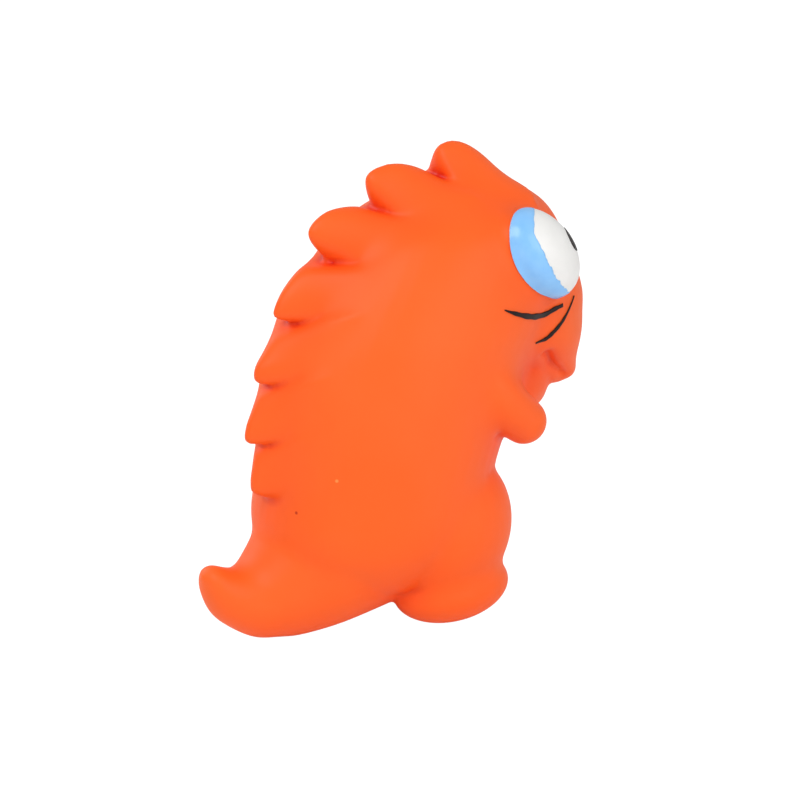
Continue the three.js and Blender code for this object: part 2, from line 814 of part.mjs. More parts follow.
add("latex_skin", latexSkin, latexOrange);
add("fibre_filling", filling, fibreWhite);
add("squeaker_housing", squeakerHousing, plasticWhite);
add("squeaker_reed_seat", reedSeat, plasticWhite);
add("squeaker_reed", reedTongue, reedAmber);
add("squeaker_reed_clamp", reedClamp, plasticWhite);
add("squeaker_cap", squeakerCap, plasticWhite);
["right", "left"].forEach((label, k) => {
  add(`eye_white_${label}`, eyeCoats[k].white, enamelWhite);
  add(`eyelid_blue_${label}`, eyeCoats[k].blue, enamelBlue);
  add(`pupil_${label}`, eyeCoats[k].pupil, enamelBlack);
  add(`cheek_line_upper_${label}`, cheekLine(cheekLineShares.upper, bothSides[k]), enamelBlack);
  add(`cheek_line_lower_${label}`, cheekLine(cheekLineShares.lower, bothSides[k]), enamelBlack);
});

// The origin lies under the middle of the toy, on the floor.
const extent = new THREE.Box3().setFromObject(toy);
const middle = extent.getCenter(new THREE.Vector3());
toy.position.set(-middle.x, -middle.y, -extent.min.z);

export default toy;
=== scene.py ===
from math import cos, pi, radians, sin

import bpy
import numpy as np
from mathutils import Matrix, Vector


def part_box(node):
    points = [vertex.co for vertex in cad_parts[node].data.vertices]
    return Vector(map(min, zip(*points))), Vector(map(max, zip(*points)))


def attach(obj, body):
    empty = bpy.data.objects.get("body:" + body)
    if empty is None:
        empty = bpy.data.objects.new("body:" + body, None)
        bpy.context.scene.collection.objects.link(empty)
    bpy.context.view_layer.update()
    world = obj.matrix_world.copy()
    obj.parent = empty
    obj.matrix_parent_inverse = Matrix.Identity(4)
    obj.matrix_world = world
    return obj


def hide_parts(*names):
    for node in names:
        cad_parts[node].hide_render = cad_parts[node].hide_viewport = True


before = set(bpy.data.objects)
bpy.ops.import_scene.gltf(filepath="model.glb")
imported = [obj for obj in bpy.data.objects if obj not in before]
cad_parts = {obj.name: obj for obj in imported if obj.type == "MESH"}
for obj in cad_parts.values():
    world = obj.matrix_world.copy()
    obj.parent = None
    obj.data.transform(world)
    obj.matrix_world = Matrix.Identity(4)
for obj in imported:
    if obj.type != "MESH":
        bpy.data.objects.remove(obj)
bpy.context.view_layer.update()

# Latex skin: one hollow moulding of orange natural latex, with a wall of about 2 mm. It is cast
# in one mould, so the head, muzzle, arms, legs, tail and back spikes run into each other
# without seams. Where two forms meet, the latex fills the corner with a soft fillet.
body_tall, body_deep, body_wide = 0.112, 0.09, 0.056
belly_level, muzzle_level, jaw_level = 0.006, 0.054, 0.0465
skin_wall, least_half = 0.002, 0.0003
plug_behind = 0.016
plug_low, plug_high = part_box("squeaker_housing")
middle_y = (plug_low.y + plug_high.y) / 2 - plug_behind
LEFT = np.array([1.0, 0.0, 0.0])
UP = np.array([0.0, 0.0, 1.0])


def place(left, forward, up):
    """Points from their distances to the toy's left, forward of its middle and up."""
    left, forward, up = np.broadcast_arrays(left, forward, up)
    return np.stack([left, middle_y - forward, up], axis=-1).astype(float)


def unit(vectors):
    return vectors / np.linalg.norm(vectors, axis=-1, keepdims=True)


def drawn(rows, steps):
    """A smooth curve through rows, as steps + 1 even samples. Between rows b and c, with
    neighbours a and d, it is the cubic that leaves b with slope (c - a) / 2 and reaches c
    with slope (d - b) / 2."""
    rows = np.asarray(rows, float)
    along = np.linspace(0, len(rows) - 1, steps + 1)
    first = np.minimum(along.astype(int), len(rows) - 2)
    t = (along - first)[:, None]
    a, b, c, d = (rows[np.clip(first + k, 0, len(rows) - 1)] for k in (-1, 0, 1, 2))
    return b + t / 2 * ((c - a) + t * ((2 * a - 5 * b + 4 * c - d) + t * (3 * b - a - 3 * c + d)))


def facing_out(points, triangles):
    """The triangles turned so that the volume they close is positive."""
    a, b, c = (points[triangles[:, k]] for k in range(3))
    volume = np.einsum("ij,ij->", a, np.cross(b, c))
    return triangles if volume > 0 else triangles[:, ::-1]


def ringed(rings, start, end):
    """A closed skin over a grid of points, one row to a ring, that draws in to a point at each
    end. Point k of ring i joins its neighbours on the ring and the points k of rings i +- 1."""
    count, sides = rings.shape[:2]
    points = np.concatenate([[start], rings.reshape(-1, 3), [end]])
    here = 1 + np.arange(count * sides).reshape(count, sides)
    beside = np.roll(here, -1, axis=1)
    parts = [
        (here[:-1], beside[:-1], beside[1:]),
        (here[:-1], beside[1:], here[1:]),
        (np.zeros_like(here[0]), beside[0], here[0]),
        (np.full_like(here[0], len(points) - 1), here[-1], beside[-1]),
    ]
    triangles = np.concatenate([np.stack(part, axis=-1).reshape(-1, 3) for part in parts])
    return points, facing_out(points, triangles)


def elliptic(centres, deep, half_wide, half_deep, sides=48):
    """Rings of the points c + w cos(a) x + h sin(a) d, for the angles a all round: x points
    left, d is the ring's deep direction, and w and h are its half sizes."""
    angle = np.linspace(0, 2 * pi, sides, endpoint=False)[None, :, None]
    wide = half_wide[:, None, None] * np.cos(angle) * LEFT
    return centres[:, None] + wide + half_deep[:, None, None] * np.sin(angle) * deep[:, None]


def stacked(rows, base, size, ends, grow, steps=60):
    """Level ellipses stacked on a base level. Each row holds the height, the front, the back
    and the half width, as shares of the form's height, depth, depth and width. The ends are
    such shares too: how far forward the lowest and the highest point lie, and how high the
    highest one is."""
    tall, deep, wide = size
    start, end, crown = ends
    height, front, back, half = (drawn(rows, steps) * [tall, deep, deep, wide]).T
    centres = place(0, (front + back) / 2, base + height + (2 * height / tall - 1) * grow)
    forward = np.broadcast_to([0.0, -1.0, 0.0], centres.shape)
    rings = elliptic(centres, forward, half + grow, (front - back) / 2 + grow)
    bottom, top = place(0, start * deep, base - grow), place(0, end * deep, base + crown * tall + grow)
    return ringed(rings, bottom, top)


def lobed(top, bottom, half_wide, tip, grow, sides=48):
    """A lobe with a drawn side view: ring i stands between point i of the upper edge and point
    i of the lower edge, and the last ring closes on the tip."""
    across = top - bottom
    half_deep = np.linalg.norm(across, axis=1) / 2 + grow
    kept = np.minimum(half_deep, half_wide + grow) > least_half
    centres = ((top + bottom) / 2)[kept]
    rings = elliptic(centres, unit(across)[kept], (half_wide + grow)[kept], half_deep[kept], sides)
    inward, outward = unit(centres[0] - centres[1]), tip - centres[-1]
    reach = max(np.linalg.norm(outward) + grow, least_half)
    return ringed(rings, centres[0] + max(grow, 0) * inward, centres[-1] + reach * unit(outward))


def limbed(path, radii, grow, steps=20):
    """A round limb along a path through its stations, with half a ball at each end."""
    line = drawn(path, steps)
    radius = drawn(np.asarray(radii)[:, None], steps)[:, 0] + grow
    along = unit(np.gradient(line, axis=0))
    turn = np.linspace(0, pi / 2, 10)[1:-1]
    low = line[0] - radius[0] * np.cos(turn)[:, None] * along[0]
    high = line[-1] + radius[-1] * np.sin(turn)[:, None] * along[-1]
    centres = np.concatenate([low, line, high])
    sizes = np.concatenate([radius[0] * np.sin(turn), radius, radius[-1] * np.cos(turn)])
    ahead = np.concatenate([[along[0]] * len(low), along, [along[-1]] * len(high)])
    wide = unit(LEFT - (ahead @ LEFT)[:, None] * ahead)
    angle = np.linspace(0, 2 * pi, 32, endpoint=False)[None, :, None]
    round_points = np.cos(angle) * wide[:, None] + np.sin(angle) * np.cross(ahead, wide)[:, None]
    rings = centres[:, None] + sizes[:, None, None] * round_points
    return ringed(rings, line[0] - radius[0] * along[0], line[-1] + radius[-1] * along[-1])


def ellipsoid(centre, axes, halves, grow):
    """The points m + a p cos(t) sin(s) + b q sin(t) sin(s) + c r cos(s) about the middle m, with
    the half sizes a, b, c along the square directions p, q, r."""
    p, q, r = np.asarray(axes) * (np.asarray(halves) + grow)[:, None]
    down = np.linspace(0, pi, 26)[1:-1, None, None]
    round_ = np.linspace(0, 2 * pi, 40, endpoint=False)[None, :, None]
    rings = centre + np.sin(down) * (np.cos(round_) * p + np.sin(round_) * q) + np.cos(down) * r
    return ringed(rings, centre + r, centre - r)


# Each form's height, depth and width, the shares of its ends, and its rows from the bottom up.
body_size, body_ends = (body_tall, body_deep, body_wide), (-0.08, 0.15, 0.968)
body_rows = [
    [0.018, 0.045, -0.222, 0.2],
    [0.0625, 0.156, -0.36, 0.36],
    [0.143, 0.25, -0.45, 0.465],
    [0.214, 0.275, -0.473, 0.5],
    [0.304, 0.284, -0.458, 0.5],
    [0.393, 0.328, -0.454, 0.5],
    [0.482, 0.372, -0.448, 0.5],
    [0.571, 0.42, -0.43, 0.5],
    [0.66, 0.489, -0.39, 0.5],
    [0.75, 0.525, -0.32, 0.48],
    [0.82, 0.536, -0.25, 0.446],
    [0.884, 0.494, -0.165, 0.39],
    [0.925, 0.434, -0.075, 0.306],
    [0.95, 0.37, -0.01, 0.21],
    [0.962, 0.28, 0.05, 0.12],
]
muzzle_size, muzzle_ends = (0.046, 0.056, 0.042), (0.8, 0.5, 1)
muzzle_rows = [
    [0.033, 0.94, 0.714, 0.214],
    [0.087, 0.968, 0.66, 0.29],
    [0.19, 0.965, 0.536, 0.357],
    [0.348, 0.985, 0.321, 0.452],
    [0.478, 0.99, 0.179, 0.488],
    [0.609, 0.988, 0.089, 0.5],
    [0.783, 0.93, 0.089, 0.476],
    [0.913, 0.82, 0.143, 0.38],
]
jaw_size, jaw_ends = (0.0195, 0.045, 0.031), (0.667, 0.5, 1)
jaw_rows = [
    [0.077, 0.88, 0.333, 0.29],
    [0.256, 0.985, 0.178, 0.435],
    [0.385, 1.015, 0.111, 0.484],
    [0.538, 1.03, 0.111, 0.5],
    [0.795, 1, 0.111, 0.484],
]
# The tail's rows hold a point of its upper edge and one of its lower edge, each as shares of
# its reach behind and of its height, and then the half width as a share of the root's.
tail_reach, tail_tall, tail_half = 0.0625, 0.042, 0.0208
tail_rows = [
    [0.24, 1, 0.19, 0.075, 1.03],
    [0.47, 0.93, 0.4, 0.02, 0.93],
    [0.635, 0.76, 0.56, -0.005, 0.68],
    [0.7, 0.645, 0.66, 0.015, 0.57],
    [0.755, 0.555, 0.765, 0.05, 0.47],
    [0.81, 0.52, 0.865, 0.145, 0.38],
    [0.87, 0.54, 0.94, 0.25, 0.3],
    [0.925, 0.575, 0.98, 0.38, 0.23],
    [0.96, 0.575, 0.99, 0.47, 0.14],
]
tail_tip = (0.995, 0.53)
eye_halves = (0.01, 0.0145, 0.008)
eye_apart, eye_forward, eye_level = 0.0208, 0.0292, 0.0979
eye_lean, eye_turn = radians(45), radians(61.5)
shoulder, hand = (0.02, 0.01, 0.07), (0.0225, 0.0237, 0.0534)
arm_radius, hand_radius, elbow_bow = 0.007, 0.0062, 0.001
thigh_middle, thigh_halves = (0.0145, 0.004, 0.0255), (0.0135, 0.02, 0.021)
foot_middle, foot_halves = (0.016, 0.0053, 0.0085), (0.011, 0.0172, 0.009)
level_axes = np.eye(3)


def eye_axes(side):
    """Three square directions of an eye: along its narrow side, up its long side and out."""
    up = np.array([0, sin(eye_lean), cos(eye_lean)])
    ahead = np.array([0, -cos(eye_lean), sin(eye_lean)])
    out = cos(eye_turn) * ahead + side * sin(eye_turn) * LEFT
    return np.cross(up, out), up, out


def tail(grow):
    top_behind, top_up, low_behind, low_up, half = drawn(tail_rows, 32).T
    return lobed(
        place(0, -top_behind * tail_reach, top_up * tail_tall),
        place(0, -low_behind * tail_reach, low_up * tail_tall),
        half * tail_half, place(0, -tail_tip[0] * tail_reach, tail_tip[1] * tail_tall), grow,
    )


def arm(side, grow):
    from_, to = place(side * shoulder[0], *shoulder[1:]), place(side * hand[0], *hand[1:])
    elbow = (from_ + to) / 2 + elbow_bow * np.array([side, 1, -1])
    return limbed([from_, elbow, to], [arm_radius, arm_radius, hand_radius], grow)


# Back spikes, from the crown down. Each row holds five points of the middle line as shares of
# the body's depth behind and height up: the bulge on top, the shoulder, the tip, the heel below
# it and the notch. The last value is the half width as a share of the body's width.
spike_rows = [
    [-0.288, 1.021, -0.207, 1.062, -0.138, 1.06, -0.124, 1.02, -0.146, 0.974, 0.22],
    [-0.058, 1.019, 0.033, 1.038, 0.11, 1.024, 0.11, 0.98, 0.07, 0.926, 0.23],
    [0.153, 0.952, 0.247, 0.954, 0.309, 0.924, 0.303, 0.886, 0.236, 0.828, 0.23],
    [0.327, 0.832, 0.389, 0.798, 0.426, 0.756, 0.428, 0.727, 0.356, 0.708, 0.2],
    [0.422, 0.686, 0.468, 0.646, 0.498, 0.615, 0.494, 0.583, 0.43, 0.571, 0.19],
    [0.477, 0.553, 0.513, 0.507, 0.533, 0.472, 0.528, 0.442, 0.452, 0.433, 0.18],
    [0.494, 0.416, 0.511, 0.372, 0.518, 0.34, 0.51, 0.315, 0.454, 0.296, 0.17],
]
crest_start = (-0.366, 0.95)
crest_middle = (-0.06, 0.72)
crest_bed, crest_half, crest_round, crest_edge = 0.012, 0.0155, 0.046, 0.0025
crest_sink, spike_taper = 0.005, 0.45
crest_sweep, sweep_round = 0.4, 0.002
along_shares = [0, 0.35, 0.65, 0.83, 0.93, 1]


def back_point(behind, up):
    return place(0, -behind * body_deep, belly_level + up * body_tall)


def crest(grow, keel):
    """The spikes as one ridge. A ring of it stands on an anchor at the depth l inside the back
    and rises to the drawn middle line, at the height l + h over the anchor. At the distance x
    from the middle its height is l - x^2 / 2r - c (x / b)^4 + h (1 - (s - e) / w)^2, with
    s^2 = x^2 + e^2. So a spike is a keel with a round edge that runs out into the flanks, on
    the round of the back, which sinks into the body towards the half width b. The flanks of a
    ring sweep towards the head by the share q of x, so a spike's rear is round and the notches
    run down as chevrons. Inside the wall the keels stand at the share keel of their height."""
    notches = np.array([crest_start] + [row[8:10] for row in spike_rows])
    inner = np.stack([
        np.full(len(notches), crest_middle[0]), np.minimum(notches[:, 1], crest_middle[1]),
    ], axis=1)
    outer = back_point(*notches.T)
    anchors = outer + crest_bed * unit(back_point(*inner.T) - outer)
    lines, beds, halves = [], [], []
    for k, row in enumerate(spike_rows):
        corners = np.concatenate([notches[k], row[:10]]).reshape(-1, 2)
        behind, up, along = drawn(np.column_stack([corners, along_shares]), 35).T
        lines.append(back_point(behind, up))
        beds.append(anchors[k] + along[:, None] * (anchors[k + 1] - anchors[k]))
        halves.append(row[10] * body_wide * (1 - spike_taper * along ** 2))
    line, bed, half = np.concatenate(lines), np.concatenate(beds), np.concatenate(halves)
    rise = np.linalg.norm(line - bed, axis=1)
    outward = (line - bed) / rise[:, None]
    angle = np.linspace(0, 2 * pi, 96, endpoint=False)
    apart = crest_half * np.cos(angle)[None, :]
    slant = np.hypot(apart, crest_edge) - crest_edge
    bell = np.clip(1 - slant / half[:, None], 0, None) ** 2
    ridge = keel * (rise - crest_bed)[:, None] * bell
    sunk = apart ** 2 / (2 * crest_round) + crest_sink * (apart / crest_half) ** 4
    top = crest_bed - sunk + ridge + grow
    low = crest_bed - sunk[:, :1]
    lift = np.where(np.sin(angle)[None, :] >= 0, top, low * (1 + np.sin(angle))[None, :])
    sweep = crest_sweep * (np.hypot(apart, sweep_round) - sweep_round)
    rings = bed[:, None] + apart[..., None] * LEFT + lift[..., None] * outward[:, None]
    rings -= sweep[..., None] * unit(np.gradient(bed, axis=0))[:, None]
    return ringed(rings, bed[0], bed[-1])


def toy_forms(grow, keel=1):
    """Every form of the moulding, grown or shrunk by one distance."""
    forms = [
        stacked(body_rows, belly_level, body_size, body_ends, grow),
        stacked(muzzle_rows, muzzle_level, muzzle_size, muzzle_ends, grow),
        stacked(jaw_rows, jaw_level, jaw_size, jaw_ends, grow),
        tail(grow),
    ]
    for side in (-1, 1):
        eye_middle = place(side * eye_apart, eye_forward, eye_level)
        forms.append(ellipsoid(eye_middle, eye_axes(side), eye_halves, grow))
        forms.append(arm(side, grow))
        for middle, halves in ((thigh_middle, thigh_halves), (foot_middle, foot_halves)):
            forms.append(ellipsoid(place(side * middle[0], *middle[1:]), level_axes, halves, grow))
    return forms + [crest(grow, keel)]


def mesh_object(name, points, faces):
    mesh = bpy.data.meshes.new(name)
    mesh.from_pydata(np.asarray(points).tolist(), [], np.asarray(faces).tolist())
    piece = bpy.data.objects.new(name, mesh)
    bpy.context.collection.objects.link(piece)
    return piece


def finished(draft):
    """The mesh that an object's modifiers make, on its own."""
    seen = draft.evaluated_get(bpy.context.evaluated_depsgraph_get())
    return bpy.data.meshes.new_from_object(seen)


def erased(*pieces):
    for piece in pieces:
        mesh = piece.data
        bpy.data.objects.remove(piece)
        bpy.data.meshes.remove(mesh)


def fused(forms, voxel):
    """The outside of all the forms together, as points and square faces."""
    starts = np.cumsum([0] + [len(points) for points, _ in forms])
    points = np.concatenate([points for points, _ in forms])
    triangles = np.concatenate([faces + start for (_, faces), start in zip(forms, starts)])
    draft = mesh_object("draft", points, triangles)
    remesh = draft.modifiers.new("fuse", "REMESH")
    remesh.mode = "VOXEL"
    remesh.voxel_size = voxel
    mesh = finished(draft)
    erased(draft)
    points = np.empty(len(mesh.vertices) * 3)
    mesh.vertices.foreach_get("co", points)
    faces = np.empty(len(mesh.loops), int)
    mesh.loops.foreach_get("vertex_index", faces)
    bpy.data.meshes.remove(mesh)
    return points.reshape(-1, 3), faces.reshape(-1, 4)


def edges_of(quads):
    pairs = np.concatenate([quads[:, [k, (k + 1) % 4]] for k in range(4)])
    return np.unique(np.sort(pairs, axis=1), axis=0)


def normals_of(points, quads):
    a, b, c, d = (points[quads[:, k]] for k in range(4))
    face = np.cross(c - a, d - b)
    total = np.stack(
        [np.bincount(quads.ravel(), np.repeat(face[:, k], 4), len(points)) for k in range(3)], axis=1,
    )
    return unit(total)


def neighbour_step(points, edges):
    """How far each point lies from the middle of its neighbours, as a vector to it."""
    a, b = edges.T
    share = np.bincount(a, minlength=len(points)) + np.bincount(b, minlength=len(points))
    sums = [
        np.bincount(a, points[b, k], len(points)) + np.bincount(b, points[a, k], len(points))
        for k in range(3)
    ]
    return np.stack(sums, axis=1) / share[:, None] - points


def relaxed(points, quads, rounds, fill, flow, slide=0.4):
    """Moves each point part of the way to the middle of its neighbours, round after round: by
    the share fill where that is outwards, which fills corners and leaves bulges as they are,
    by the share flow where it is inwards, and by the share slide along the skin."""
    edges = edges_of(quads)
    for round_ in range(rounds):
        if round_ % 5 == 0:
            normals = normals_of(points, quads)
        step = neighbour_step(points, edges)
        out = np.einsum("ij,ij->i", step, normals)
        share = np.where(out > 0, fill, flow)
        points = points + slide * (step - out[:, None] * normals) + (share * out)[:, None] * normals
    return points


def softened(values, quads, rounds):
    """Values on the points, each moved to the mean of its neighbours, round after round."""
    edges = edges_of(quads)
    ends = np.concatenate([edges, edges[:, ::-1]]).T
    share = np.bincount(ends[0], minlength=len(values))
    for round_ in range(rounds):
        values = np.bincount(ends[0], values[ends[1]], len(values)) / share
    return values


def near(points, start, end, core, fade):
    """1 within the distance core of a line between two points, 0 beyond the distance fade, and
    the same on the toy's other side. Each end is given as its distance from the middle plane,
    forward and up."""
    spot = np.stack([np.abs(points[:, 0]), middle_y - points[:, 1], points[:, 2]], axis=1)
    start, run = np.array(start), np.array(end) - np.array(start)
    share = np.clip((spot - start) @ run / max(run @ run, 1e-12), 0, 1)
    reach = np.linalg.norm(spot - start - share[:, None] * run, axis=1)
    return np.clip((fade - reach) / (fade - core), 0, 1)


skin_voxel, fillet_rounds, fillet_share = 0.00075, 80, 0.7
points, quads = fused(toy_forms(0), skin_voxel)

# Where the fillets stay small: along the spikes, at the mouth, the crotch, the waist and the
# root of the tail. Each row holds the two ends of a line, the reach and where it fades out.
kept_sharp = [
    [(0, 0.047, 0.06), (0.012, 0.046, 0.061), 0.006, 0.014],
    [(0.016, -0.0145, 0.002), (0.0205, -0.0153, 0.0165), 0.007, 0.013],
    [(0.006, 0.023, 0.0415), (0.022, 0.014, 0.0435), 0.004, 0.009],
    [(0, -0.0495, 0.0235), (0.014, -0.045, 0.0195), 0.006, 0.013],
    [(0.017, 0.017, 0.049), (0.025, 0.016, 0.05), 0.003, 0.008],
]
pit_reach, pit_core, pit_fade = 0.0055, 0.0025, 0.0085
heel_core, heel_fade = 0.005, 0.009
before = np.array([0, -crest_start[0] * body_deep, belly_level + crest_start[1] * body_tall])
for row in spike_rows:
    tip, notch = (
        np.array([0, -row[k] * body_deep, belly_level + row[k + 1] * body_tall]) for k in (4, 8)
    )
    pit_end = notch + pit_reach * LEFT - crest_sweep * pit_reach * unit(notch - before)
    kept_sharp.append([tip, notch, heel_core, heel_fade])
    kept_sharp.append([notch, pit_end, pit_core, pit_fade])
    before = notch
sharp = np.maximum.reduce([near(points, *row) for row in kept_sharp])
# Round the eyes the fillets are smaller too, by the share eye_sharp.
eye_spot, eye_sharp = (eye_apart, eye_forward, eye_level), 0.6
near_eye = near(points, eye_spot, eye_spot, core=0.010, fade=0.0225)
fill = fillet_share * (1 - sharp) * (1 - eye_sharp * near_eye)
points = relaxed(points, quads, fillet_rounds, fill, flow=0)

# The mouth: a groove between the muzzle and the lower jaw, from one cheek round to the other.
mouth_line = [
    (0.0175, 0.0353, 0.068), (0.0147, 0.0392, 0.063), (0.0125, 0.0446, 0.0588),
    (0.007, 0.0478, 0.0575), (0, 0.0485, 0.0575),
]
groove_deep, groove_half = 0.0026, 0.0032
grooved = np.maximum.reduce([
    near(points, start, end, core=0, fade=groove_half)
    for start, end in zip(mouth_line, mouth_line[1:])
])
points = points - (groove_deep * grooved ** 2)[:, None] * normals_of(points, quads)
points = relaxed(points, quads, rounds=2, fill=0.4, flow=0.4)
points[:, 2] = np.maximum(points[:, 2], 0)

# How hollow the skin is at each point, in metres: in the creases and, far more softened, in the dips
# round them.
# The creases count for less away from the middle plane. The latex's colour turns both into painted
# shade.
crease_half = 0.006
crease = np.einsum("ij,ij->i", neighbour_step(points, edges_of(quads)), normals_of(points, quads))
crease = softened(crease, quads, rounds=6)
dip = softened(np.maximum(crease, 0), quads, rounds=160)
crease = crease * np.clip(1.5 - np.abs(points[:, 0]) / crease_half, 0.5, 1)

# The hollow, and the hole for the squeaker: a recess for its flange and a narrower neck.
plug_y = (plug_low.y + plug_high.y) / 2
recess_radius, neck_radius, collar_radius = 0.01, 0.0067, 0.014
seat_level, seat_top = 0.0065, 0.0085
overrun = 0.001
hollow_inset, hollow_keel, hollow_voxel = 1.4 * skin_wall, 0.4, 0.0021


def turned(rows, sides=72):
    """A profile of radii and heights, turned about the squeaker's upright axis."""
    angle = np.linspace(0, 2 * pi, sides, endpoint=False)[None, :, None]
    radius, level = np.array(rows).T[:, :, None, None]
    axis = np.array([0, plug_y, 0])
    rings = axis + radius * (np.cos(angle) * LEFT + np.sin(angle) * [0, 1, 0]) + level * UP
    return ringed(rings, axis + rows[0][1] * UP, axis + rows[-1][1] * UP)


def kept_clear(points, rooms):
    """Points within a radius of the squeaker's axis, lifted to the height of that room."""
    reach = np.hypot(points[:, 0], points[:, 1] - plug_y)
    for radius, level in rooms:
        points[:, 2] = np.where(reach < radius, np.maximum(points[:, 2], level), points[:, 2])
    return points


hollow_points, hollow_quads = fused(toy_forms(-hollow_inset, hollow_keel), hollow_voxel)
hollow_points[:, 2] = np.maximum(hollow_points[:, 2], skin_wall)
hollow_points = kept_clear(hollow_points, [(collar_radius, seat_top)])
plug_hole = turned([
    (recess_radius, -overrun), (recess_radius, seat_level), (neck_radius, seat_level),
    (neck_radius, seat_top + 1.5 * overrun),
])
skin = mesh_object("skin_latex", points, quads)
for name, values in (("crease", crease), ("dip", dip)):
    skin.data.attributes.new(name, "FLOAT", "POINT").data.foreach_set("value", values)
cutters = [mesh_object("hollow", hollow_points, hollow_quads), mesh_object("hole", *plug_hole)]
for cutter in cutters:
    cut = skin.modifiers.new(cutter.name, "BOOLEAN")
    cut.operation, cut.solver, cut.object = "DIFFERENCE", "MANIFOLD", cutter
uncut = skin.data
skin.data = finished(skin)
skin.modifiers.clear()
bpy.data.meshes.remove(uncut)
erased(*cutters)
skin.data.materials.clear()
skin.data.shade_smooth()
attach(skin, "toy")
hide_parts("latex_skin")


class Value:
    """One output socket of a node. Sums and products with numbers or other outputs add their
    Math nodes."""

    def __init__(self, graph, socket):
        self.graph, self.socket = graph, socket

    def maths(self, operation, *terms):
        return self.graph.node("ShaderNodeMath", {"operation": operation}, dict(enumerate(terms)))

    def __add__(self, other):
        return self.maths("ADD", self, other)

    def __sub__(self, other):
        return self.maths("SUBTRACT", self, other)

    def __rsub__(self, other):
        return self.maths("SUBTRACT", other, self)

    def __mul__(self, other):
        return self.maths("MULTIPLY", self, other)

    def clamped(self):
        return self.maths("MINIMUM", self.maths("MAXIMUM", self, 0.0), 1.0)

    __radd__, __rmul__ = __add__, __mul__


class Graph:
    """The nodes of one material or of the world. node() adds a node: its settings are set
    first, then each socket, by name or by number, takes a value or the output of another."""

    def __init__(self, owner):
        owner.use_nodes = True
        self.owner, self.tree = owner, owner.node_tree

    def node(self, kind, settings=None, sockets=None, output=0):
        made = self.tree.nodes.new(kind)
        for key, value in (settings or {}).items():
            setattr(made, key, value)
        self.wire(made, sockets or {})
        return Value(self, made.outputs[output])

    def wire(self, made, sockets):
        for key, value in sockets.items():
            if isinstance(value, Value):
                self.tree.links.new(value.socket, made.inputs[key])
            else:
                made.inputs[key].default_value = value

    def surface(self, sockets):
        self.wire(self.tree.nodes["Principled BSDF"], sockets)

    def noise(self, scale, detail, roughness):
        return self.node("ShaderNodeTexNoise", {}, {
            "Vector": self.node("ShaderNodeTexCoord", output=3),
            "Scale": scale, "Detail": detail, "Roughness": roughness,
        })

    def attribute(self, name):
        return self.node("ShaderNodeAttribute", {"attribute_name": name}, output=2)

    def blend(self, share, first, second):
        """A colour between two others, by a share."""
        return self.node(
            "ShaderNodeMix", {"data_type": "RGBA"}, {0: share, 6: first, 7: second}, output=2,
        )

    def bump(self, strength, distance, height):
        return self.node(
            "ShaderNodeBump", {}, {"Strength": strength, "Distance": distance, "Height": height},
        )


def material(name):
    return Graph(bpy.data.materials.new(name))


def colour(red, green, blue):
    """A colour as it is seen on a screen, from 0 to 255, turned to the linear values of light."""
    seen = np.array([red, green, blue]) / 255
    light = np.where(seen <= 0.04045, seen / 12.92, ((seen + 0.055) / 1.055) ** 2.4)
    return (*light.tolist(), 1.0)


# The latex: two oranges in a soft mottle, with painted shade over them where shade falls: a redder
# orange in the dips and a deep red in the creases. full_dip, least_crease and full_crease are the
# hollowness where these start and end.
full_dip, least_crease, full_crease = 1.05263e-5, 6e-6, 5.6e-5
latex = material("orange_latex")
mottle = latex.noise(scale=26.0, detail=3.0, roughness=0.5)
grain = latex.noise(scale=900.0, detail=2.0, roughness=0.6)
open_ground = latex.blend((mottle - 0.35) * 2.2, colour(255, 98, 26), colour(252, 104, 38))
# A dark and a light speck on the right flank, each with its place to the left, forward and up.
speck_radius, speck_edge = 0.00055, 0.0003
for spot, tone in (
    ((-0.0099, -0.0393, 0.0378), colour(190, 44, 6)),
    ((-0.0183, -0.0324, 0.0477), colour(255, 146, 74)),
):
    reach = latex.node("ShaderNodeVectorMath", {"operation": "DISTANCE"}, {
        0: latex.node("ShaderNodeTexCoord", output=3), 1: place(*spot).tolist(),
    }, output=1)
    speck_share = ((speck_radius - reach) * (1 / speck_edge)).clamped()
    open_ground = latex.blend(speck_share, open_ground, tone)
# Painted shade: a redder orange in the broad dips round the creases.
dip_shade_share = (latex.attribute("dip") * (1 / full_dip)).clamped()
ground = latex.blend(dip_shade_share, open_ground, colour(248, 80, 20))
# Painted shade: a deep red in the creases.
crease_gain = 1 / (full_crease - least_crease)
crease_shade_share = ((latex.attribute("crease") - least_crease) * crease_gain).clamped()
latex.surface({
    "Base Color": latex.blend(crease_shade_share, ground, colour(218, 34, 6)),
    "Roughness": 0.46 + (mottle - 0.5) * 0.15,
    "Normal": latex.bump(strength=0.12, distance=0.0002, height=grain),
    "Specular IOR Level": 0.25,
})
skin.data.materials.append(latex.owner)

# Fibre filling: loose white polyester fibre, pushed in by hand through the squeaker's hole. It
# springs back against the wall of the skin and leaves room for the squeaker's cup.
squeaker_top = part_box("squeaker_cap")[1].z
tuft_size, tuft_height = 0.0055, 0.0006
filling_inset, filling_floor, filling_voxel = 2.25 * skin_wall, 1.2 * skin_wall, 0.0016
filling_points, filling_quads = fused(toy_forms(-filling_inset, hollow_keel), filling_voxel)
filling_points = relaxed(filling_points, filling_quads, rounds=6, fill=0.4, flow=0.4)
turns = filling_points / tuft_size
tufts = np.sin(turns @ [2.1, 0.7, 1.3]) * np.sin(turns @ [-0.6, 2.3, 0.9] + 1)
tufts = tufts * np.sin(turns @ [0.8, -1.1, 2.2] + 2)
filling_points += (tuft_height * tufts)[:, None] * normals_of(filling_points, filling_quads)
filling_points[:, 2] = np.maximum(filling_points[:, 2], filling_floor)
filling_gap, cup_room, cup_headroom = 0.0004, 0.0095, 0.001
filling_points = kept_clear(filling_points, [
    (collar_radius + filling_gap, seat_top + filling_gap),
    (cup_room, squeaker_top + cup_headroom),
])
filling = mesh_object("filling_fibre", filling_points, filling_quads)
filling.data.shade_smooth()
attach(filling, "toy")
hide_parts("fibre_filling")

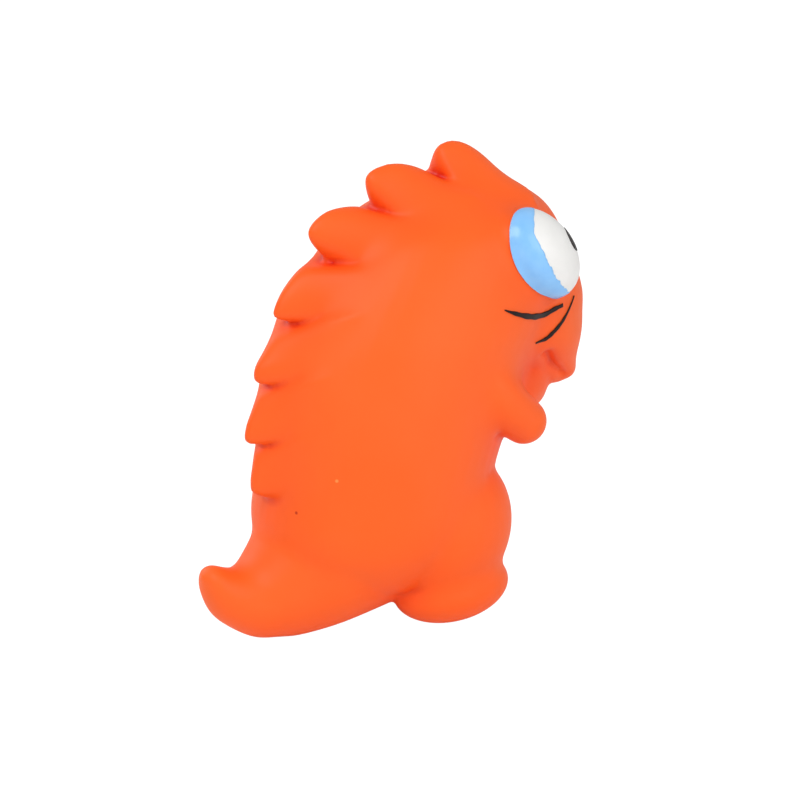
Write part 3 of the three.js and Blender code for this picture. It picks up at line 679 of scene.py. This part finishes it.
fibre = material("polyester_fibre")
strands = fibre.noise(scale=700.0, detail=6.0, roughness=0.75)
fibre.surface({
    "Base Color": fibre.blend(strands, colour(226, 223, 214), colour(250, 249, 245)),
    "Roughness": 0.95,
    "Normal": fibre.bump(strength=0.9, distance=0.0005, height=strands),
    "Specular IOR Level": 0.15,
})
filling.data.materials.append(fibre.owner)

# Squeaker: a plug in off-white polyethylene, with a flange in the recess of the underside and a
# barb above the wall. Its cup holds the reed's seat and clamp under a cap, all pressed together.
plastic = material("squeaker_polyethylene")
cloud = plastic.noise(scale=160.0, detail=3.0, roughness=0.5)
scuff = plastic.noise(scale=1400.0, detail=2.0, roughness=0.5)
plastic.surface({
    "Base Color": plastic.blend(cloud, colour(229, 226, 217), colour(243, 241, 234)),
    "Roughness": 0.34 + scuff * 0.16,
    "Normal": plastic.bump(strength=0.15, distance=0.0001, height=scuff),
})


def dressed(node, finish):
    """A piece of the frame that keeps its own mesh, in its material."""
    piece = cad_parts[node]
    piece.data.materials.clear()
    piece.data.materials.append(finish.owner)


for node in ("squeaker_housing", "squeaker_reed_seat", "squeaker_reed_clamp", "squeaker_cap"):
    dressed(node, plastic)

# Reed: a strip of amber polyester film, held at its root under the clamp. Its free end buzzes
# over the slot of its seat when air is squeezed past it.
film = material("reed_film")
rolling = film.noise(scale=500.0, detail=2.0, roughness=0.5)
film.surface({
    "Base Color": film.blend(rolling, colour(205, 160, 92), colour(226, 186, 122)),
    "Roughness": 0.12 + rolling * 0.14,
    "Normal": film.bump(strength=0.05, distance=0.0001, height=rolling),
})
dressed("squeaker_reed", film)

# Eyes: three coats of gloss enamel on each eye dome, brushed on by hand after the moulding. The
# white covers the dome, the blue lid lies over its rear and the black pupil at its front.
coat, first_lift, second_lift = 0.00018, 0.00012, 0.00026
MM = 0.001
# The outline of the white and the edge of the lid, from its top down, as distances from the
# eye's middle: forward across the dome and up it.
white_outline = MM * np.array([
    [0.3, 15.0], [3.6, 14.0], [6.0, 11.6], [7.5, 8.4], [8.6, 4.5], [9.4, 0.5], [9.7, -3.6],
    [9.2, -8.4], [7.3, -12.8], [4.6, -17.0], [0.9, -20.3], [-3.4, -19.8], [-6.2, -17.2],
    [-8.2, -12.2], [-9.9, -7.5], [-11.3, -3.8], [-11.9, 1.9], [-10.9, 7.6], [-7.9, 12.0],
    [-3.8, 14.4],
])
lid_edge = MM * np.array([
    [7.2, 9.1], [4.6, 10.3], [2.2, 10.8], [0.4, 10.5], [-0.7, 10.4], [-2.2, 9.7], [-3.6, 7.6],
    [-5.1, 4.9], [-6.1, 2.4], [-7.0, -2.0], [-6.8, -5.9], [-5.5, -10.4], [-2.4, -15.4],
    [0.5, -20.1],
])
white_waver, lid_waver = 0.002, 0.0001
pupil_middle, pupil_radius = np.array([0.006, -0.0041]), 0.0034
eye_root, eye_shell, rim_share = 0.012, 0.03, 0.06


def domed(spots):
    """The height of the eye dome over its middle plane, c sqrt(1 - (x / a)^2 - (y / b)^2), added
    to distances x forward across it and y up it. Round the rim, where the skin's fillet takes
    over from the dome, the height stays the same."""
    inside = np.clip(1 - ((spots / eye_halves[:2]) ** 2).sum(axis=-1), rim_share, 1)
    return np.concatenate([spots, eye_halves[2] * np.sqrt(inside)[..., None]], axis=-1)


def touching(middle, flat):
    """A flat figure moved to the plane that touches the dome over one point."""
    top = domed(middle)
    out = unit(top / np.square(eye_halves))
    ahead = unit(np.cross([0.0, 1.0, 0.0], out))
    return top + flat[..., :1] * ahead + flat[..., 1:] * np.cross(out, ahead)


def on_eye(side, spots):
    """Points on a ball round the eye, from their distances forward, up and out of its middle.
    Each keeps its line to the root, behind the middle, and is laid on the skin along it."""
    across, up, out = eye_axes(side)
    root = place(side * eye_apart, eye_forward, eye_level) - eye_root * out
    way = spots @ np.array([-side * across, up, out]) + eye_root * out
    return root + eye_shell * unit(way)


def disc(steps=56):
    """A grid bent into a disc: (a, b) in the square goes to a sqrt(1 - b^2 / 2) across and
    b sqrt(1 - a^2 / 2) up."""
    a, b = np.meshgrid(np.linspace(-1, 1, steps), np.linspace(-1, 1, steps), indexing="ij")
    return np.stack([a * np.sqrt(1 - b ** 2 / 2), b * np.sqrt(1 - a ** 2 / 2)], axis=-1)


def spread(outline, waver_share):
    """The disc stretched to an outline: at the angle t and the distance q from the middle, a
    point goes to q r(t), where r is the outline's distance with a fine brush waver."""
    middle = outline.mean(axis=0)
    ring = drawn(np.concatenate([outline[-2:], outline, outline[:3]]), 400) - middle
    angles = np.arctan2(ring[:, 1], ring[:, 0])
    order = np.argsort(angles)
    flat = disc()
    angle = np.arctan2(flat[..., 1], flat[..., 0])
    reach = np.interp(angle, angles[order], np.linalg.norm(ring, axis=1)[order], period=2 * pi)
    waver = np.sin(23 * angle + 1) + 0.7 * np.sin(41 * angle) + 0.5 * np.sin(67 * angle)
    length = np.linalg.norm(flat, axis=-1) * (1 + waver_share * waver)
    turn = np.stack([np.cos(angle), np.sin(angle)], axis=-1)
    return middle + (length * reach)[..., None] * turn


def evened(curve):
    """The same curve with its points at even steps of its length."""
    run = np.concatenate([[0], np.cumsum(np.linalg.norm(np.diff(curve, axis=0), axis=1))])
    even = np.linspace(0, run[-1], len(curve))
    return np.stack([np.interp(even, run, column) for column in curve.T], axis=-1)


def lid_grid(steps=90, rows=22):
    """Straight rungs from the rear of the outline to the lid's edge, rung after rung from the
    top to the bottom of the eye, where the two meet. The edge has a fine brush waver."""
    over_top, round_rear = white_outline[2::-1], white_outline[:10:-1]
    outline = np.concatenate([lid_edge[:1], over_top, round_rear, lid_edge[-1:]])
    rear, edge = evened(drawn(outline, steps)), evened(drawn(lid_edge, steps))
    along = np.linspace(0, 2 * pi, steps + 1)
    waver = np.sin(9 * along) + 0.8 * np.sin(17 * along + 2) + 0.5 * np.sin(31 * along)
    waver = lid_waver * waver * np.sin(along / 2)
    share = np.linspace(0, 1, rows)[None, :, None]
    rungs = rear[:, None] + share * (edge - rear)[:, None]
    return rungs + share * (waver[:, None] * [1, 0.4])[:, None]


def coated(name, grid, lift, node, finish, outwards, method):
    """A coat of enamel: a grid of points laid on the skin and thickened outwards. The grid's
    faces are turned to the outward direction, and the method is how the points reach the
    skin: straight back along their normals, or to the nearest point of it."""
    rows, columns = grid.shape[:2]
    here = np.arange(rows * columns).reshape(rows, columns)
    faces = np.stack([here[:-1, :-1], here[1:, :-1], here[1:, 1:], here[:-1, 1:]], axis=-1)
    faces = faces.reshape(-1, 4)
    points = grid.reshape(-1, 3)
    a, b, c, d = (points[faces[:, k]] for k in range(4))
    if np.cross(c - a, d - b).sum(axis=0) @ outwards < 0:
        faces = faces[:, ::-1]
    piece = mesh_object(name, points, faces)
    laid = piece.modifiers.new("laid", "SHRINKWRAP")
    laid.wrap_method, laid.wrap_mode, laid.offset, laid.target = method, "ABOVE_SURFACE", lift, skin
    laid.use_negative_direction, laid.use_positive_direction = True, False
    thick = piece.modifiers.new("thick", "SOLIDIFY")
    thick.thickness, thick.offset = coat, 1
    piece.data.shade_smooth()
    piece.data.materials.append(finish.owner)
    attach(piece, "toy")
    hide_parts(node)


def enamel(name, deep, light, rough, shine):
    """Brushed gloss enamel, a little uneven in colour and in gloss."""
    made = material(name)
    brush = made.noise(scale=260.0, detail=3.0, roughness=0.5)
    made.surface({
        "Base Color": made.blend(brush, deep, light),
        "Roughness": rough + brush * 0.12,
        "Normal": made.bump(strength=0.08, distance=0.0002, height=brush),
        "Specular IOR Level": shine,
    })
    return made


white_enamel = enamel(
    "white_enamel", colour(234, 233, 230), colour(241, 240, 238), rough=0.3, shine=0.32,
)
blue_enamel = enamel(
    "blue_enamel", colour(120, 186, 248), colour(146, 203, 252), rough=0.16, shine=0.5,
)
black_enamel = enamel(
    "black_enamel", colour(12, 4, 4), colour(30, 10, 9), rough=0.36, shine=0.22,
)
both_sides = ((-1, "right"), (1, "left"))
white_spots = domed(spread(white_outline, white_waver))
lid_spots = domed(lid_grid())
pupil_spots = touching(pupil_middle, pupil_radius * disc(24))
eye_coats = [
    ("white_coat", white_spots, first_lift, "eye_white", "enamel_white", white_enamel),
    ("lid_coat", lid_spots, second_lift, "eyelid_blue", "enamel_blue", blue_enamel),
    ("pupil_coat", pupil_spots, second_lift, "pupil", "enamel_black", black_enamel),
]
for side, label in both_sides:
    for coat_name, spots, lift, node, slot, finish in eye_coats:
        coated(
            f"{coat_name}_{label}", on_eye(side, spots), lift, f"{node}_{label}", finish,
            eye_axes(side)[2], "PROJECT",
        )

# Cheek lines: two strokes of black enamel on each cheek, painted by hand with a fine brush
# below the eye. Rows along a stroke hold, in millimetres, the distance from the middle plane,
# forward and up, and the half width.
stroke_lift = 0.0006
stroke_rows = {
    "upper": [
        [26.9, 13.7, 87.1, 0.12], [26.4, 16.8, 85.6, 0.46], [25.3, 21.5, 83.6, 0.7],
        [23.4, 26.2, 82.0, 0.78], [21.4, 31.0, 81.1, 0.72], [20.7, 35.0, 81.7, 0.6],
        [19.9, 38.1, 81.95, 0.45],
    ],
    "lower": [
        [20.0, 29.1, 73.15, 0.2], [19.9, 32.3, 73.5, 0.54], [20.2, 34.7, 75.0, 0.6],
        [20.0, 37.7, 77.2, 0.5], [19.1, 40.7, 80.0, 0.26], [17.4, 43.6, 82.9, 0.15],
    ],
}


def stroke(side, rows, steps=70):
    """A ribbon along a drawn line. At the share v of its width from -1 to 1, a point lies at
    p + v h s, where p is the line, h the half width there and s the direction that is square
    to the line and to the way out of the cheek."""
    line = drawn(MM * np.array(rows), steps)
    spots = place(side * line[:, 0], line[:, 1], line[:, 2])
    away = np.array([side, 0, 0])
    square = unit(np.cross(unit(np.gradient(spots, axis=0)), away))
    share = np.linspace(-1, 1, 7)[None, :, None]
    waver = 1 + 0.09 * np.sin(np.linspace(0, 40, steps + 1))
    half = (line[:, 3] * waver)[:, None, None]
    return spots[:, None] + share * half * square[:, None] + stroke_lift * away


for side, label in both_sides:
    for level, rows in stroke_rows.items():
        coated(
            f"{level}_stroke_{label}", stroke(side, rows), first_lift,
            f"cheek_line_{level}_{label}", black_enamel,
            side * LEFT, "NEAREST_SURFACEPOINT",
        )

# Camera: the photograph's view, from behind the toy's right side and a little above it.
view_azimuth, view_elevation = radians(235), radians(20)
view_distance, view_lens = 0.8, 136.8
view_level = 0.0574
aim = Vector((0, middle_y, view_level))


def from_toy(azimuth, elevation):
    """The direction from the toy to a viewer or a lamp. At the azimuth 0 it is ahead of it."""
    level = cos(elevation)
    return Vector((sin(azimuth) * level, -cos(azimuth) * level, sin(elevation)))


towards = from_toy(view_azimuth, view_elevation)
camera_data = bpy.data.cameras.new("camera")
camera_data.lens = view_lens
camera = bpy.data.objects.new("camera", camera_data)
camera.location = aim + view_distance * towards
camera.rotation_euler = (-towards).to_track_quat("-Z", "Y").to_euler()
bpy.context.collection.objects.link(camera)
bpy.context.scene.camera = camera

# Studio: a white floor, a white surround and three soft lamps round the toy.
floor_half = 3.0
floor_corners = floor_half * np.array([(-1, -1, 0), (1, -1, 0), (1, 1, 0), (-1, 1, 0)])
floor = mesh_object("floor", floor_corners, [(0, 1, 2, 3)])
seen_white, paper_glow = 0.86, 1.2
paper = material("white_paper")
seen = paper.node("ShaderNodeLightPath")
sheet = paper.tree.nodes["Principled BSDF"]
paper.surface({"Base Color": (0.92, 0.92, 0.92, 1), "Roughness": 0.95, "Specular IOR Level": 0.0})
white_light = (1, 1, 1, 1)
glow = paper.node("ShaderNodeEmission", {}, {"Color": white_light, "Strength": paper_glow})
mixed = paper.node("ShaderNodeMixShader", {}, {
    0: seen * seen_white, 1: Value(paper, sheet.outputs[0]), 2: glow,
})
paper.wire(paper.tree.nodes["Material Output"], {"Surface": mixed})
floor.data.materials.append(paper.owner)

room_light, lamp_distance = 0.52, 0.9
world = bpy.data.worlds.new("studio")
bpy.context.scene.world = world
room = Graph(world)
soft = room.node("ShaderNodeBackground", {}, {"Color": white_light, "Strength": room_light})
plain = room.node("ShaderNodeBackground", {}, {"Color": white_light, "Strength": 1.0})
room.wire(room.tree.nodes["World Output"], {"Surface": room.node("ShaderNodeMixShader", {}, {
    0: room.node("ShaderNodeLightPath"), 1: soft, 2: plain,
})})


def lamp(name, azimuth, elevation, size, power):
    """A square soft lamp that faces the toy from a direction."""
    light = bpy.data.lights.new(name, "AREA")
    light.size, light.energy = size, power
    out = from_toy(azimuth, elevation)
    holder = bpy.data.objects.new(name, light)
    holder.location = aim + lamp_distance * out
    holder.rotation_euler = (-out).to_track_quat("-Z", "Y").to_euler()
    bpy.context.collection.objects.link(holder)


lamp("key_lamp", radians(214), radians(46), size=0.5, power=3.3)
lamp("fill_lamp", radians(290), radians(20), size=0.6, power=2.1)
lamp("back_lamp", radians(110), radians(28), size=0.6, power=2.2)

bpy.context.scene.view_settings.view_transform = "Standard"
